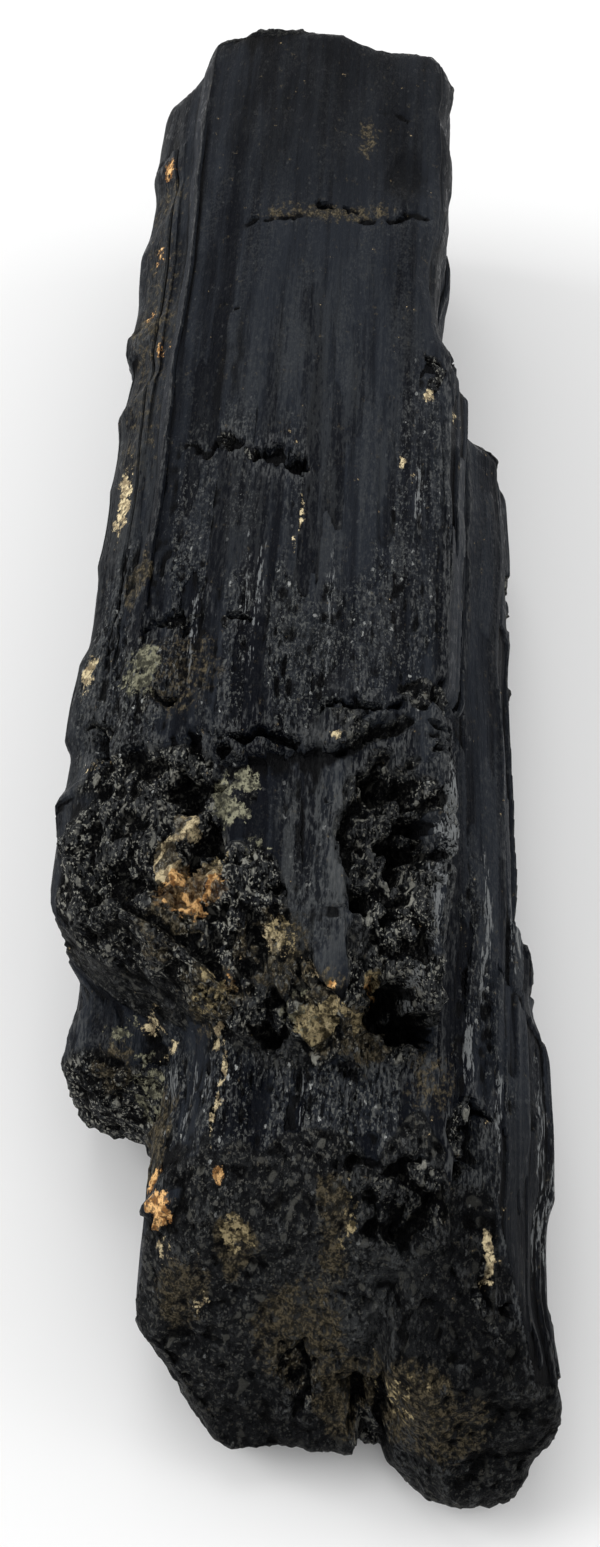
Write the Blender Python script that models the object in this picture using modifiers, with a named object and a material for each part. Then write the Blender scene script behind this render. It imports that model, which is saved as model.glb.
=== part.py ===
"""A log of rough black tourmaline (schorl), lying on its side.

Parallel crystals grew together into one solid: a wide main column, narrower columns and ribs along its
flanks, and shorter, lower columns that carry on past its broken near end. The columns run along +Y, and
the log rests on the flat sides of its lowest columns, at z = 0.

Every length in the tables below is in millimetres.
"""
import math

import bmesh
import bpy
from mathutils import Vector, noise

MM = 0.001
NAME = "tourmaline_crystal"

BLANK_LENGTH = 170.0        # a column before its two ends are broken off
UNDERSIDE = -0.8            # the lowest outlines start here and are sliced level at z = 0
SKIN_CELL = 0.75            # cell size of the skin that wraps the joined columns
FACES = 8600                # triangles kept on the finished skin

# Relief by formula: (size across the log, size along it, depth) of the ribs of the grown faces, of the
# grain of broken ground, and of a slow unevenness that both share.
RIBS = (3.0, 80.0, 0.8)
GRAIN = (3.4, 3.4, 0.9)
WAVES = (17.0, 17.0, 0.45)
RIB_SEED, GRAIN_SEED, WAVE_SEED = 11, 37, 53
RIBS_LOST = 0.6             # share of the ribs that broken ground has lost

BREAK_Y = -21.6             # the break across the top of the main column, on its left
BREAK_SLOPE = 0.42          # how fast the break runs back towards the right
BREAK_DROP = 1.7            # how far the broken ground lies below the main face
BREAK_RUN = 1.6             # the length over which it drops
CREVICE_WIDTH, CREVICE_DEPTH = 0.9, 1.6
TOP_FROM = 26.0             # height above which the break crosses the log
LEVEL_BELOW = 0.5           # the resting side is left plain up to here, and fully carved from
CARVED_FROM = 2.5

# Each column: its outline as (x, z) points, and the planes that end it as (point, outward direction).
COLUMNS = {
    "main": (
        [(-14, 9), (6, 8), (11, 12), (11.6, 26.8), (10.2, 29.2), (-3, 30), (-14.2, 28.4), (-20.3, 21.8),
         (-19.6, 15)],
        [((0, -43.4, 24), (0.05, -1, 0.6)), ((-19.6, -34.2, 20), (-0.55, -0.83, 0.12)),
         ((0, 72, 29), (0.02, 1, 0.08)), ((11.2, 69.6, 29), (0.8, 0.55, 0.1)),
         ((-20, 70.6, 22), (-0.35, 1, 0))]),
    "crest": (
        [(-15, 24), (-4.6, 24), (-4, 30.3), (-12.2, 29.9), (-15.2, 28.8)],
        [((-8, -21.5, 29), (-0.1, -1, 0.6)), ((-8, 73.3, 29), (0, 1, 0.1)),
         ((-14.6, 72.2, 28), (-0.8, 0.6, 0.2))]),
    "ridge": (
        [(-5, 24), (0.4, 24), (0.2, 30.1), (-1.2, 30.7), (-3.6, 30.5)],
        [((-2, -6, 30), (0.1, -1, 0.5)), ((-2, 72.8, 29), (0.1, 1, 0.1))]),
    "shoulder": (
        [(-19.4, 12), (-12, 10), (-12, 26.6), (-17, 26.6), (-20.7, 22.8)],
        [((-18, -24, 24), (-0.5, -1, 0.8)), ((-18, 70.4, 24), (-0.4, 1, 0))]),
    "right_rib": (
        [(8, 10), (12.8, 12), (13.5, 24.5), (11.5, 28.6), (8, 28.8)],
        [((12, 26, 26), (0.45, 1, 0.1)), ((12.5, -14, 26), (0.3, -1, 0.1))]),
    "side": (
        [(8, 4), (17.6, 3), (18.5, 12), (16.8, 17.6), (12.6, 20.4), (8, 20)],
        [((15, -50, 12), (0, -1, 0.3)), ((15, 24.9, 16), (0.35, 1, 0.3))]),
    "knob": (
        [(14, 7), (19.4, 8), (20.1, 12), (17.6, 16.4), (14, 17)],
        [((18, -27, 12), (0.55, 1, 0.1)), ((18, -34.5, 12), (0.4, -1, 0))]),
    "lobe": (
        [(8.6, 0.8), (17.2, 0.3), (20.2, 5), (20.5, 12.2), (16.2, 18.3), (9.5, 19.6), (7.4, 10)],
        [((15, -71.6, 5), (0.1, -1, 0.55)), ((14, -71.7, 4), (0, -1, -0.4)),
         ((19.8, -67.6, 8), (0.75, -0.65, 0.1)), ((9, -68.6, 6), (-0.7, -0.7, 0.2)),
         ((20.4, -38, 12), (0.9, 0.55, 0.3)), ((16.2, -54, 18.3), (0.05, -0.33, 1))]),
    "front": (
        [(-8, UNDERSIDE), (10, UNDERSIDE), (12.6, 8), (12.6, 20.2), (9, 21.6), (-6.2, 21.8), (-11, 15.8),
         (-11.8, 6)],
        [((1, -55, 21.6), (0, -1, 0.82)), ((1, -69.7, 5), (0, -1, -0.6)),
         ((-9.6, -63.3, 7), (-0.8, -0.66, -0.1)), ((-10, -58, 15), (-0.6, -0.5, 0.6)),
         ((0, 20, 10), (0, 1, 0))]),
    "stub": (
        [(-16, 1.5), (-10, 1), (-10, 16.4), (-14.8, 16.2), (-18.9, 12.6), (-19.1, 4.5)],
        [((-15, -45, 9), (0.15, -1, 0.35)), ((-15, -45, 7), (0, -1, -0.6)),
         ((-17.9, -42.6, 8), (-0.7, -0.7, 0.1)), ((-15, 24, 8), (0, 1, 0.3))]),
    "flank": (
        [(-17, 2.2), (-11, 1.5), (-11, 18), (-19, 18.5), (-20, 8)],
        [((-16, -6, 10), (-0.1, -1, 0.4)), ((-16, 61, 10), (0, 1, 0.3))]),
    "base": (
        [(-12, UNDERSIDE), (8, UNDERSIDE), (11.5, 5), (11, 14), (-16, 14), (-16.5, 5)],
        [((0, -40, 5), (0, -1, 0)), ((0, 64, 7), (-0.1, 1, -0.3))]),
    "keel": (
        [(5, 1.6), (11.4, 3.2), (12.6, 9), (12.2, 16.5), (6, 19)],
        [((10, 4, 10), (0, -1, 0.2)), ((10, 57, 10), (0.2, 1, 0.4))]),
}

# Hollows broken out of the surface: centre, half sizes along x, y and z, and depth.
HOLLOWS = [
    ((6.6, -29.0, 29), (4.6, 9.0, 5), 4.2),         # pitted hollow right of the middle
    ((8.8, -30.5, 29), (2.2, 5.0, 5), 2.0),         # its deepest corner
    ((9.3, -41.8, 24), (2.6, 3.4, 5), 4.5),         # dark undercut at the end of the main face
    ((-10.0, -26.4, 28.5), (2.4, 2.8, 4), 2.4),     # hole among the broken ground on the left
    ((-7.6, -32.5, 28.5), (1.6, 3.2, 4), 1.6),
    ((-2.2, -43.0, 24), (2.4, 2.2, 3), 1.6),
    ((-17.4, -19.5, 26), (1.6, 2.8, 4), 1.5),       # ring-shaped pit on the left edge
    ((-4.8, 9.6, 30), (3.2, 1.4, 3), 1.7),          # cracks across the main face
    ((-10.2, 11.8, 30), (2.6, 1.1, 3), 0.9),
    ((-2.6, 43.4, 30), (4.2, 0.9, 3), 0.8),
    ((6.3, 52.3, 29.5), (2.4, 5.5, 3), 0.7),
    ((10.9, 37.5, 27), (3.0, 8.0, 9), 1.4),         # dent in the right edge
    ((8.7, -55.8, 20.6), (3.4, 3.2, 4), 2.2),       # square pit at the top of the sloping break
    ((13.3, -49.6, 19), (1.1, 3.4, 3), 2.2),        # slits between the near columns
    ((15.7, -60.3, 16.5), (1.0, 2.4, 3), 1.5),
    ((0.9, -62.8, 12.5), (1.3, 4.6, 5), 1.9),
    ((7.2, -67.2, 6.5), (2.0, 4.0, 6), 2.6),
    ((-20.3, 28.0, 17), (3.0, 6.5, 3.5), 1.5),      # chips in the left flank
    ((-19.6, -4.0, 12), (3.0, 4.5, 3.0), 1.3),
    ((-15.5, 46.0, 4), (3.0, 9.0, 3.0), 1.6),
    ((12.8, 50.0, 17), (3.0, 5.0, 4.0), 1.5),       # chips in the right flank
    ((18.3, 4.0, 8), (3.0, 7.0, 3.5), 1.4),
    ((19.8, -52.0, 4), (3.0, 4.0, 3.0), 1.2),
    ((-4.0, 73.5, 22), (5.0, 4.0, 4.5), 2.4),       # pits in the far end
    ((5.0, 72.5, 14), (4.0, 4.0, 3.5), 1.8),
]

# Knobs that stand proud: centre, half sizes and height.
KNOBS = [
    ((-9.4, -54.4, 18), (1.9, 2.6, 3), 0.9),
    ((5.5, -63.0, 13), (4.5, 4.0, 4), 0.8),
    ((11.2, -26.0, 28), (1.2, 12.0, 3), 0.6),
    ((-17.5, -41.0, 12), (3.0, 4.0, 5), 0.5),
]

# Ground that broke instead of growing flat: centre, half sizes. Its surface is grained, not ribbed.
BROKEN = [
    ((-12.0, -31.0, 26), (10.5, 13.0, 8)),
    ((5.5, -32.0, 27), (6.5, 12.5, 5)),
    ((1.0, -66.0, 11), (16.0, 12.5, 14)),
    ((17.0, -70.5, 8), (7.0, 7.0, 10)),
    ((-15.5, -44.5, 9), (7.0, 5.0, 10)),
    ((0.0, -44.0, 24), (13.0, 3.0, 5)),
    ((0.0, 74.0, 18), (24.0, 4.5, 18)),
    ((16.0, 26.0, 14), (5.0, 3.5, 9)),
]


def clear_scene():
    for thing in list(bpy.data.objects):
        bpy.data.objects.remove(thing, do_unlink=True)


def collection(name):
    made = bpy.data.collections.new(name)
    bpy.context.scene.collection.children.link(made)
    return made


def evaluated_mesh(thing):
    """The mesh of an object as its modifiers leave it."""
    graph = bpy.context.evaluated_depsgraph_get()
    return bpy.data.meshes.new_from_object(thing.evaluated_get(graph), depsgraph=graph)


def column(name, outline, ends, home):
    """One crystal: its outline drawn as a flat curve, extruded along Y and broken off at its end planes."""
    curve = bpy.data.curves.new(name, "CURVE")
    curve.dimensions = "2D"
    curve.fill_mode = "BOTH"
    curve.extrude = BLANK_LENGTH / 2 * MM
    spline = curve.splines.new("POLY")
    spline.points.add(len(outline) - 1)
    for point, (x, z) in zip(spline.points, outline):
        point.co = (x * MM, z * MM, 0, 1)
    spline.use_cyclic_u = True
    blank = bpy.data.objects.new(name + "_outline", curve)
    home.objects.link(blank)
    blank.rotation_euler.x = math.radians(90)
    bpy.context.view_layer.update()
    mesh = evaluated_mesh(blank)
    mesh.transform(blank.matrix_world)
    bpy.data.objects.remove(blank, do_unlink=True)

    shape = bmesh.new()
    shape.from_mesh(mesh)
    bmesh.ops.remove_doubles(shape, verts=shape.verts, dist=1e-6)
    for point, direction in ends:
        break_off(shape, Vector(point) * MM, Vector(direction).normalized())
    bmesh.ops.recalc_face_normals(shape, faces=shape.faces)
    shape.to_mesh(mesh)
    shape.free()
    solid = bpy.data.objects.new(name, mesh)
    home.objects.link(solid)
    solid.hide_render = True
    solid.display_type = "WIRE"
    return solid


def break_off(shape, point, direction):
    """Cuts away what lies past a plane, and closes the cut."""
    everything = shape.verts[:] + shape.edges[:] + shape.faces[:]
    cut = bmesh.ops.bisect_plane(shape, geom=everything, dist=1e-6, plane_co=point, plane_no=direction,
                                 clear_outer=True)
    rim = [item for item in cut["geom_cut"] if isinstance(item, bmesh.types.BMEdge)]
    bmesh.ops.contextual_create(shape, geom=rim)


def grown_together(columns, home):
    """All the columns joined in one solid, wrapped in an even skin that can be carved."""
    first, rest = columns[0], columns[1:]
    log = bpy.data.objects.new(NAME, first.data.copy())
    home.objects.link(log)
    for other in rest:
        join = log.modifiers.new("join_" + other.name, "BOOLEAN")
        join.operation = "UNION"
        join.solver = "EXACT"
        join.object = other
    skin = log.modifiers.new("skin", "REMESH")
    skin.mode = "VOXEL"
    skin.voxel_size = SKIN_CELL * MM
    bpy.context.view_layer.update()
    mesh = evaluated_mesh(log)
    log.modifiers.clear()
    log.data = mesh
    return log


def falloff(point, centre, half):
    """1 at the middle of an ellipsoid, falling smoothly to 0 on its surface."""
    away = sum(((a - b) / c) ** 2 for a, b, c in zip(point, centre, half))
    return max(0.0, 1.0 - away) ** 0.8


def smoothstep(low, high, value):
    t = min(1.0, max(0.0, (value - low) / (high - low)))
    return t * t * (3 - 2 * t)


def noise_at(point, across, along, seed):
    """Smooth noise, mostly within half of 1 either way, whose lumps have the sizes across and along Y."""
    return noise.noise(Vector((point[0] / across + seed, point[1] / along, point[2] / across)))


def brokenness(point):
    """1 on broken ground, 0 on grown faces."""
    return min(1.0, sum(falloff(point, centre, half) for centre, half in BROKEN) * 1.6)


def sunk(point, facing):
    """How far, in millimetres, the surface lies below the plain columns at a point."""
    x, y, z = point
    broken = brokenness(point)
    across, along, rib_depth = RIBS
    depth = rib_depth * (0.3 - noise_at(point, across, along, RIB_SEED)) * (1 - RIBS_LOST * broken)
    across, along, grain_depth = GRAIN
    depth += grain_depth * broken * noise_at(point, across, along, GRAIN_SEED)
    across, along, wave_depth = WAVES
    depth += wave_depth * noise_at(point, across, along, WAVE_SEED)
    if facing.z > 0.5 and z > TOP_FROM:
        past = BREAK_Y + BREAK_SLOPE * max(0.0, x + 2) - y
        depth += BREAK_DROP * smoothstep(0, BREAK_RUN, past) * (1 - 0.8 * smoothstep(7, 10.5, x))
        depth += CREVICE_DEPTH * math.exp(-(past / CREVICE_WIDTH) ** 2) * smoothstep(-19, -14, x)
    for centre, half, deep in HOLLOWS:
        depth += deep * falloff(point, centre, half)
    for centre, half, high in KNOBS:
        depth -= high * falloff(point, centre, half)
    return depth


def carve(log):
    """Moves each point of the skin along its normal, except on the flat sides that the log rests on."""
    mesh = log.data
    moves = []
    for vertex in mesh.vertices:
        point = vertex.co / MM
        rest_side = smoothstep(CARVED_FROM, LEVEL_BELOW, point.z) if vertex.normal.z < -0.6 else 0.0
        moves.append(vertex.normal * (-sunk(point, vertex.normal) * (1 - rest_side) * MM))
    for vertex, move in zip(mesh.vertices, moves):
        vertex.co += move


def thinned(log):
    """Keeps the triangles that the shape needs, then slices the resting side level."""
    thin = log.modifiers.new("thin", "DECIMATE")
    thin.ratio = FACES / sum(len(face.vertices) - 2 for face in log.data.polygons)
    bpy.context.view_layer.update()
    mesh = evaluated_mesh(log)
    log.modifiers.clear()
    shape = bmesh.new()
    shape.from_mesh(mesh)
    break_off(shape, Vector((0, 0, 0)), Vector((0, 0, -1)))
    bmesh.ops.triangulate(shape, faces=shape.faces)
    bmesh.ops.remove_doubles(shape, verts=shape.verts, dist=0.02 * MM)
    bmesh.ops.recalc_face_normals(shape, faces=shape.faces)
    shape.to_mesh(mesh)
    shape.free()
    log.data = mesh


def centred(log):
    """Puts the origin at the bottom centre of the box."""
    corners = [vertex.co for vertex in log.data.vertices]
    middle = Vector([(min(c[i] for c in corners) + max(c[i] for c in corners)) / 2 for i in (0, 1)] + [0])
    print("origin shift, mm:", [round(v / MM, 3) for v in middle])
    for vertex in log.data.vertices:
        vertex.co -= middle


def stone():
    material = bpy.data.materials.new("black_tourmaline")
    material.use_nodes = True
    shader = material.node_tree.nodes["Principled BSDF"]
    shader.inputs["Base Color"].default_value = (0.014, 0.016, 0.022, 1)
    shader.inputs["Roughness"].default_value = 0.45
    shader.inputs["Metallic"].default_value = 0.0
    shader.inputs["IOR"].default_value = 1.64
    return material


def main():
    clear_scene()
    part = collection("tourmaline crystal")
    construction = collection("construction columns")
    columns = [column(name, outline, ends, construction) for name, (outline, ends) in COLUMNS.items()]
    log = grown_together(columns, part)
    for blank in columns:
        bpy.data.objects.remove(blank, do_unlink=True)
    carve(log)
    thinned(log)
    centred(log)
    log.data.materials.clear()
    log.data.materials.append(stone())


main()
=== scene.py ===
"""Rough black tourmaline: the looks of one log of parallel crystals that grew together.

The log is one closed skin. Rays fan out from a line inside the log, each ray stops at the outermost of the
flat-sided columns, and the skin is then sunk along the rays by ribs, grain, hollows and cracks. Lengths in
the tables are millimetres, on the log's own axes: x across, y along it, z up from the surface it lies on.
"""
import math

import bpy
import numpy as np
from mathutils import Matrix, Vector


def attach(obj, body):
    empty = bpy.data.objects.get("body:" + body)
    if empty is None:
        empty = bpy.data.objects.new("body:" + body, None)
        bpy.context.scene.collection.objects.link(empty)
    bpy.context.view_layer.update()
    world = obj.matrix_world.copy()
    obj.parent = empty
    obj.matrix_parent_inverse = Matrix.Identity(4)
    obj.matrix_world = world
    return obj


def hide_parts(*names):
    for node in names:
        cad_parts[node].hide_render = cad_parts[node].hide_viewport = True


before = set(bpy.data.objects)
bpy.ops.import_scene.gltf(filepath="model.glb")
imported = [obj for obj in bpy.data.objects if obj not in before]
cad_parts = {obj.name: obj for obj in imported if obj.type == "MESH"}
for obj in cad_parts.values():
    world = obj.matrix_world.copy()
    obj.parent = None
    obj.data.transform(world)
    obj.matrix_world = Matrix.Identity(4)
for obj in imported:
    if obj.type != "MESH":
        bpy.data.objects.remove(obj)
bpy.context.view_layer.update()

LOG = "tourmaline_crystal"
SLOT = "black_tourmaline"
MM = 0.001
ORIGIN = np.array([0.03, 1.24, 0.0])        # the frame's origin, on the tables' axes

ROUND = 720                                 # rays around the log
ALONG = 520                                 # rings of rays from the near end to the far end
SKIN_TRIANGLES = 196000
SHARP_ABOVE = 32                            # degrees between two facets

# ---------------- the columns

MAIN_BREAK = [                              # the near end of the main column, shared with its left neighbour
    ((0, -43.4, 24), (0.05, -1, 0.6)), ((0, -37.5, 28.9), (0.05, -0.5, 1)),
    ((-19.6, -34.2, 20), (-0.55, -0.83, 0.12))]

# Each column: its outline as (x, z) points, and the planes that end it as (point, outward direction).
COLUMNS = {
    "main": (
        [(-14, 9), (6, 8), (11, 12), (11.6, 26.8), (10.2, 29.2), (-3, 30), (-14.8, 28.6), (-16.0, 26.5),
         (-16.4, 14)],
        MAIN_BREAK + [((0, 74.2, 29), (0.06, 1, 0.08)), ((10.6, 71.0, 29), (0.8, 0.55, 0.1)),
                      ((-16, 73.9, 24), (-0.3, 1, 0))]),
    "left": (
        [(-19.6, 15), (-12, 9), (-12, 26.6), (-15.4, 26.2), (-17.8, 25.0), (-20.4, 22.0)],
        MAIN_BREAK + [((-18, 72.2, 23), (-0.1, 1, 0.2))]),
    "crest": (
        [(-14.8, 24), (-4.6, 24), (-4, 30.2), (-9.6, 29.9), (-12.8, 29.2), (-14.8, 28.5)],
        [((-8, -21.5, 29), (-0.1, -1, 0.6)), ((-8, 76.0, 29), (0, 1, 0.1)),
         ((-14.6, 75.4, 28), (-0.8, 0.6, 0.2))]),
    "ridge": (
        [(-7, 24), (1.6, 24), (1.6, 29.7), (-1.0, 30.4), (-3.6, 30.4), (-6, 29.6)],
        [((-2, -8, 30), (0, -0.1, 1)), ((-2, -16, 26), (0, -1, 0.5)), ((-2, 75.4, 29), (0.1, 1, 0.1))]),
    "tongue": (
        [(0.4, 20), (5.4, 20), (5.1, 28.4), (3.4, 29.4), (0.7, 29.2)],
        [((3.9, -43.9, 28), (-0.57, -0.82, 0.3)), ((3.9, -43.9, 28), (0.96, -0.27, 0.3)),
         ((3, -36, 29.3), (0, -0.08, 1)), ((3, -30, 26), (0, 1, 0))]),
    "shoulder": (
        [(-19.4, 12), (-12, 10), (-12, 26.2), (-17, 25.6), (-20.8, 22.6)],
        [((-18, -24, 24), (-0.5, -1, 0.8)), ((-18, 60, 24), (-0.4, 1, 0.1))]),
    "right_rib": (
        [(8, 10), (12.8, 12), (13.5, 24.5), (11.5, 28.6), (8, 28.8)],
        [((12, 26, 26), (0.45, 1, 0.1)), ((12.5, -14, 26), (0.3, -1, 0.1))]),
    "side": (
        [(8, 4), (17.6, 3), (18.5, 12), (16.8, 17.6), (12.6, 20.4), (8, 20)],
        [((15, -50, 12), (0, -1, 0.3)), ((15, 24.9, 16), (0.35, 1, 0.3))]),
    "knob": (
        [(14, 7), (19.4, 8), (20.1, 12), (17.6, 16.4), (14, 17)],
        [((18, -29, 12), (0.8, 1, 0.1)), ((18, -35.2, 12), (0.4, -1, 0))]),
    "lobe": (
        [(8.6, 0.8), (17.2, 0.3), (20.2, 5), (20.5, 12.2), (16.2, 18.3), (9.5, 19.6), (7.4, 10)],
        [((15, -71.8, 5), (0.1, -1, 0.55)), ((14, -72.0, 4), (0, -1, -0.4)),
         ((19.8, -69.0, 8), (0.75, -0.65, 0.1)), ((9.8, -68.8, 6), (-0.7, -0.7, 0.2)),
         ((20.4, -38, 12), (0.9, 0.55, 0.3)), ((16.2, -54, 18.3), (0.05, -0.33, 1))]),
    "front": (
        [(-8, 0), (10, 0), (12.6, 8), (12.6, 20.2), (9, 21.6), (-6.2, 21.8), (-11, 15.8), (-11.8, 6)],
        [((1, -55, 21.6), (0, -1, 0.82)), ((1, -51.4, 21.6), (0.05, -1, 2.1)), ((1, -69.7, 5), (0, -1, -0.6)),
         ((-9.6, -63.3, 7), (-0.8, -0.66, -0.1)), ((-10, -58, 15), (-0.6, -0.5, 0.6)),
         ((0, 20, 10), (0, 1, 0))]),
    "stub": (
        [(-16, 1.5), (-10, 1), (-10, 16.4), (-14.8, 16.2), (-18.9, 12.6), (-19.1, 4.5)],
        [((-15, -46.2, 9), (0.15, -1, 0.35)), ((-15, -46.2, 7), (0, -1, -0.6)),
         ((-17.9, -43.8, 8), (-0.7, -0.7, 0.1)), ((-15, 24, 8), (0, 1, 0.3))]),
    "flank": (
        [(-17, 2.2), (-11, 1.5), (-11, 18), (-19, 18.5), (-20, 8)],
        [((-16, -6, 10), (-0.1, -1, 0.4)), ((-16, 61, 10), (0, 1, 0.3))]),
    "base": (
        [(-12, 0), (8, 0), (11.5, 5), (11, 14), (-16, 14), (-16.5, 5)],
        [((0, -40, 5), (0, -1, 0)), ((0, 64, 7), (-0.1, 1, -0.3))]),
    "keel": (
        [(5, 1.6), (11.0, 3.2), (11.9, 9), (11.6, 16.5), (6, 19)],
        [((10, 4, 10), (0, -1, 0.2)), ((10, 57, 10), (0.2, 1, 0.4))]),
}

# Hollows broken out of the surface: centre, half sizes along x, y and z, and depth.
HOLLOWS = [
    ((6.8, -29.5, 29), (4.4, 9, 5), 1.9),       # pitted hollow right of the middle, and its corners
    ((8.4, -29.4, 29), (1.7, 3.6, 5), 2.8),
    ((7.2, -24.4, 29), (2, 1.7, 4), 1.5),
    ((6.2, -34.6, 29), (1.9, 2, 5), 1.4),
    ((8.6, -37.6, 28), (1.7, 2.2, 5), 1.4),
    ((6.6, -39.6, 28), (1.5, 2.4, 5), 1.2),
    ((8.2, -42.3, 24), (3.2, 2.9, 5), 4.6),     # dark undercut at the end of the main face
    ((-9.9, -26, 28.5), (2.3, 2.2, 4), 2.6),    # holes among the broken ground on the left
    ((-9.2, -31.6, 28.5), (1, 2, 4), 2),
    ((-7.5, -31.2, 28.5), (1.2, 2.8, 4), 2),
    ((-1.8, -34.6, 29), (1.4, 1.2, 4), 1.2),
    ((-2.3, -43, 25), (1.8, 1.6, 4), 1.8),
    ((-14.6, -33.5, 27), (1.8, 1.5, 4), 1.2),
    ((-17.6, -18.8, 26), (1.4, 2.2, 4), 1.5),   # ring-shaped pit on the left edge
    ((-5, 10, 30), (1.6, 1, 3), 1.6),           # pits across the main face
    ((-2.3, 9, 30), (1.5, 1.2, 3), 1.2),
    ((-8.8, 12, 30), (1.6, 0.9, 3), 0.7),
    ((-12.6, -8.4, 29.5), (2.2, 0.8, 3), 1),
    ((-7.2, -8.7, 30), (0.8, 0.6, 3), 1.1),
    ((-12.8, -16.2, 29.5), (0.6, 0.9, 3), 1),
    ((9.2, 22.4, 29), (0.7, 1.4, 3), 0.45),
    ((8.7, -55.8, 20.6), (3.2, 3, 4), 1.3),     # square pit at the top of the sloping break
    ((13.3, -49.6, 19), (0.9, 3.4, 3), 2.2),    # slits between the near columns
    ((15.7, -60.3, 16.5), (0.9, 2.2, 3), 1.5),
    ((1.4, -65, 9.5), (1.6, 3, 5), 0.7),
    ((7.2, -67.2, 6.5), (2, 4, 6), 2.6),
    ((-20.3, 24, 17), (3, 12, 1.6), 1),         # chips in the left flank
    ((-20.3, 34, 15), (3, 5, 2.4), 0.9),
    ((-19.6, -7, 11), (3, 9, 1.4), 0.9),
    ((-15.5, 46, 4), (3, 12, 2), 1.2),
    ((18.3, 2, 8), (3, 11, 1.5), 1),            # chips in the right flank
    ((18, 9, 11), (3, 4, 1.8), 0.8),
    ((19.8, -52, 4), (3, 6, 2), 1.2),
    ((-4, 73.5, 22), (5, 4, 4.5), 2.4),         # pits in the far end
    ((5, 72.5, 14), (4, 4, 3.5), 1.8),
]

# Dents worn smooth: centre, half sizes and depth.
DENTS = [
    ((13.5, 37.5, 24), (7.5, 15, 16), 1.5),    # right edge of the main column
    ((13.5, 62, 25), (5, 6, 14), 0.6),
    ((6.5, 50.4, 29.5), (2.6, 5.4, 3), 0.45),
    ((21.5, -58, 8), (4, 7.5, 14), 1),         # right edge of the near column
    ((-21, 51, 20), (5, 7, 14), 0.6),          # left edge
    ((-21, 26, 20), (5, 4.4, 12), 0.6),
    ((-21.5, 17, 20), (5, 5, 13), 0.4),
    ((-21, -3, 20), (5, 7, 14), 0.6),
    ((-21, -20, 21), (5, 3.4, 11), 0.8),
    ((1.6, 77, 30), (3, 4, 6), 1.2),           # far edge
    ((-12, 78, 30), (2.6, 3.4, 6), 0.8),
    ((6.4, 76.4, 29), (1.6, 3, 6), 0.6),
]

# Knobs that stand proud: centre, half sizes and height.
KNOBS = [
    ((-9.4, -54.4, 18), (1.9, 2.6, 3), 0.9),
    ((5.5, -63, 13), (4.5, 4, 4), 0.8),
    ((11.2, -26, 28), (1.2, 12, 3), 0.6),
    ((-17.5, -41, 12), (3, 4, 5), 0.5),
    ((-19.5, 31, 22), (2.6, 3, 5), 0.45),
    ((20.5, -64, 8), (3, 5, 6), 0.6),
]

# Ground that broke instead of growing flat: centre, half sizes, and how coarse it is.
BROKEN = [
    ((-12.4, -31.5, 26), (10, 12.5, 8), 1),
    ((7.6, -30.5, 27), (4.6, 9.5, 5), 1.1),
    ((9, -41, 24), (3.6, 4.4, 6), 1),
    ((-5, -36, 27), (6, 8.5, 6), 0.95),
    ((0, -42, 25), (13, 4, 5.5), 1.25),
    ((1, -66, 11), (16, 12.5, 14), 0.27),
    ((17, -70.5, 8), (7, 7, 10), 0.5),
    ((-3, -21.6, 28), (5.5, 1.7, 4), 0.7),
    ((5, -18.8, 28), (5, 1.6, 4), 0.6),
    ((10, -15.6, 28), (2.4, 1.8, 4), 0.6),
    ((3.5, -52.6, 21), (3.2, 3, 4), 0.5),
    ((-5, -55, 20), (3.6, 3.4, 5), 0.5),
    ((9, -51, 20), (2.6, 2.2, 4), 0.45),
    ((-15.5, -44.5, 9), (7, 5, 10), 0.85),
    ((0, 76, 18), (24, 4, 18), 0.5),
    ((16, 26, 14), (5, 3.5, 9), 0.5),
]
END_COARSE = 0.37           # how coarse the plain broken ends of the columns are
PIT_COARSE = 0.8

# The smooth plate between the two broken grounds: its middle and half its width at places along y.
PLATE_Y = [-44.4, -43.2, -41.4, -39.6, -36, -31.6, -27.6, -22]
PLATE_MIDDLE = [3.9, 3.8, 2.9, 2.6, 1.6, 0.2, -0.8, -1.2]
PLATE_HALF = [-0.6, 0.5, 1.9, 2.2, 2.3, 2.4, 3, 3.9]

# Cracks in the upper faces: points along each (x, y), how wide and how deep.
CRACKS = [
    ([(-9, 41.8), (-6.2, 42.8), (-2.8, 43)], 0.25, 0.4),
    ([(-2.2, 45), (0.6, 44.4), (2.8, 42.6)], 0.35, 0.7),
    ([(5, 42.6), (7, 43.6), (9.2, 43.2)], 0.5, 0.8),
    ([(3.6, 60.8), (5.8, 59.4)], 0.3, 0.4),
    ([(-11.2, 30), (-9.4, 29.8)], 0.25, 0.3),
    ([(-13, 11.2), (-9.6, 11.6)], 0.3, 0.5),
    ([(-7, -22.2), (-4.2, -20.7), (-1, -20.4)], 0.5, 1.5),
    ([(1.8, -21.4), (3.6, -20.8), (6.4, -19.8)], 0.4, 1.4),
    ([(1.6, -17.8), (3.2, -17.4), (6, -16.4), (8.8, -15.8)], 0.24, 1),
    ([(8.2, -16.6), (9.8, -15.2), (11.2, -13.2)], 0.4, 1.2),
    ([(6.4, -19.8), (8.8, -15.8)], 0.22, 0.7),
    ([(3.4, -20.6), (5, -17.2)], 0.22, 0.6),
    ([(11, -17.6), (11.3, -20.6)], 0.3, 1.2),
    ([(10.7, -24.2), (10.4, -27.6)], 0.3, 1),
    ([(10.3, -29.6), (9.9, -33.6)], 0.3, 1),
    ([(4.9, -52.4), (7.6, -53.4), (10.6, -52.8)], 0.4, 0.9),
]

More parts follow.
